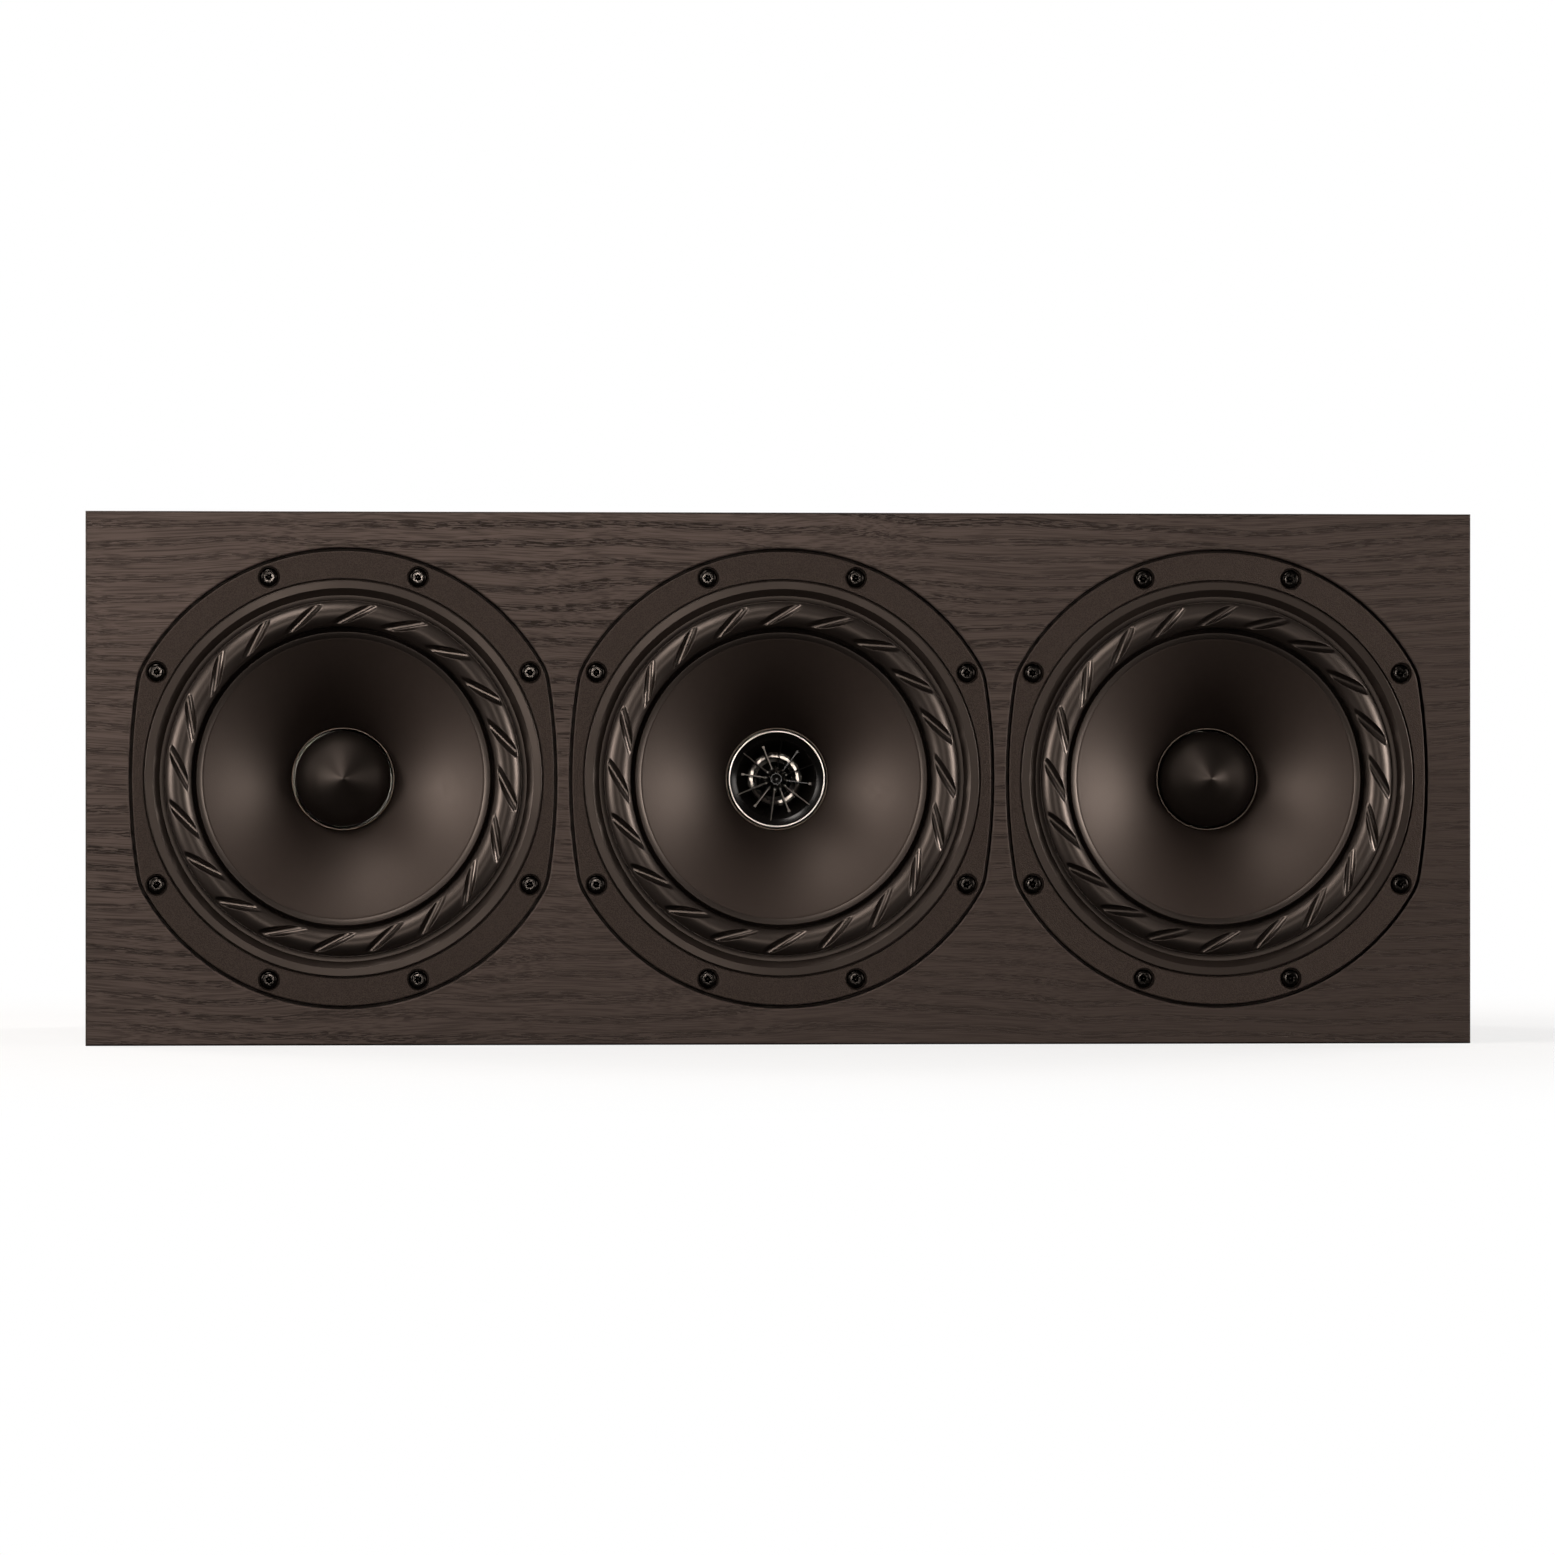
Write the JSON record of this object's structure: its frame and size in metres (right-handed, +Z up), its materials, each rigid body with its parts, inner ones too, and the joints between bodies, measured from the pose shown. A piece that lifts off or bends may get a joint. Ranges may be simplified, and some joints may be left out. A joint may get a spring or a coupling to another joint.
{
  "type": "lcr loudspeaker",
  "caption": "Horizontal loudspeaker for left, centre or right of a home cinema: veneered box with a coaxial driver between bass drivers, flush in the baffle",
  "frame": {"origin": "middle of the underside", "axes": "front faces -Y, +X to the right seen from the front, +Z up"},
  "size_m": [0.5452, 0.2845, 0.209],
  "materials": {
    "veneer": "satin",
    "mdf": "matte",
    "basket_paint": "matte",
    "gasket_foam": "matte",
    "trim_plastic": "matte",
    "surround_rubber": "satin",
    "cone_paper": "matte",
    "coil_former": "satin",
    "spider_cloth": "matte",
    "motor_steel": "satin",
    "ferrite": "matte",
    "plug_metal": "satin",
    "horn_black": "gloss",
    "fin_black": "gloss",
    "dome_metal": "satin",
    "cup_steel": "satin",
    "nickel": "polished",
    "screw_black": "gloss",
    "port_plastic": "matte",
    "terminal_plastic": "matte",
    "gilt_brass": "polished",
    "knob_red": "gloss",
    "knob_black": "gloss",
    "board_green": "satin",
    "copper_wire": "gloss",
    "capacitor_film": "gloss",
    "lead_cover": "satin"
  },
  "bodies": {
    "cabinet": {"front_baffle": "veneer", "top_panel": "veneer", "bottom_panel": "veneer", "left_side_panel": "veneer", "right_side_panel": "veneer", "back_panel": "veneer", "left_brace": "mdf", "right_brace": "mdf", "left_basket": "basket_paint", "centre_basket": "basket_paint", "right_basket": "basket_paint", "left_gasket": "gasket_foam", "centre_gasket": "gasket_foam", "right_gasket": "gasket_foam", "left_trim_ring": "trim_plastic", "centre_trim_ring": "trim_plastic", "right_trim_ring": "trim_plastic", "left_surround": "surround_rubber", "centre_surround": "surround_rubber", "right_surround": "surround_rubber", "left_spider": "spider_cloth", "centre_spider": "spider_cloth", "right_spider": "spider_cloth", "left_top_plate": "motor_steel", "centre_top_plate": "motor_steel", "right_top_plate": "motor_steel", "left_yoke": "motor_steel", "centre_yoke": "motor_steel", "right_yoke": "motor_steel", "left_magnet": "ferrite", "centre_magnet": "ferrite", "right_magnet": "ferrite", "left_phase_plug": "plug_metal", "right_phase_plug": "plug_metal", "tweeter_horn": "horn_black", "tweeter_phase_plug": "fin_black", "tweeter_dome": "dome_metal", "tweeter_cup": "cup_steel", "tweeter_magnet": "nickel", "driver_screws": "screw_black", "terminal_screws": "screw_black", "left_port_tube": "port_plastic", "right_port_tube": "port_plastic", "terminal_plate": "terminal_plastic", "binding_posts": "gilt_brass", "post_nuts": "gilt_brass", "crossover_board": "board_green", "crossover_coils": "copper_wire", "crossover_capacitors": "capacitor_film", "hookup_leads": "lead_cover"},
    "left_diaphragm": {"left_cone": "cone_paper", "left_voice_coil": "coil_former"},
    "centre_diaphragm": {"centre_cone": "cone_paper", "centre_voice_coil": "coil_former"},
    "right_diaphragm": {"right_cone": "cone_paper", "right_voice_coil": "coil_former"},
    "positive_clamp": {"positive_washer": "gilt_brass"},
    "positive_cap": {"positive_knob": "knob_red"},
    "negative_clamp": {"negative_washer": "gilt_brass"},
    "negative_cap": {"negative_knob": "knob_black"}
  },
  "joints": [
    {"name": "left_cone_travel", "type": "slide", "parent": "cabinet", "child": "left_diaphragm", "axis": [0, -1, 0], "range_m": [-0.005, 0.005], "stiffness_N_per_m": 1100, "deforming": ["left_surround", "left_spider"]},
    {"name": "centre_cone_travel", "type": "slide", "parent": "cabinet", "child": "centre_diaphragm", "axis": [0, -1, 0], "range_m": [-0.005, 0.005], "stiffness_N_per_m": 1100, "deforming": ["centre_surround", "centre_spider"]},
    {"name": "right_cone_travel", "type": "slide", "parent": "cabinet", "child": "right_diaphragm", "axis": [0, -1, 0], "range_m": [-0.005, 0.005], "stiffness_N_per_m": 1100, "deforming": ["right_surround", "right_spider"]},
    {"name": "positive_clamp_slide", "type": "slide", "parent": "cabinet", "child": "positive_clamp", "axis": [0, 1, 0], "range_m": [0, 0.004]},
    {"name": "positive_knob_turn", "type": "hinge", "parent": "positive_clamp", "child": "positive_cap", "pos_m": [0.0095, 0.144, 0.1045], "axis": [0, 1, 0], "range_deg": [0, 1925]},
    {"name": "negative_clamp_slide", "type": "slide", "parent": "cabinet", "child": "negative_clamp", "axis": [0, 1, 0], "range_m": [0, 0.004]},
    {"name": "negative_knob_turn", "type": "hinge", "parent": "negative_clamp", "child": "negative_cap", "pos_m": [-0.0095, 0.144, 0.1045], "axis": [0, 1, 0], "range_deg": [0, 1925]}
  ],
  "couplings": [
    {"joint": "positive_knob_turn", "follows": "positive_clamp_slide", "rad_per_m": 8377.6},
    {"joint": "negative_knob_turn", "follows": "negative_clamp_slide", "rad_per_m": 8377.6}
  ]
}
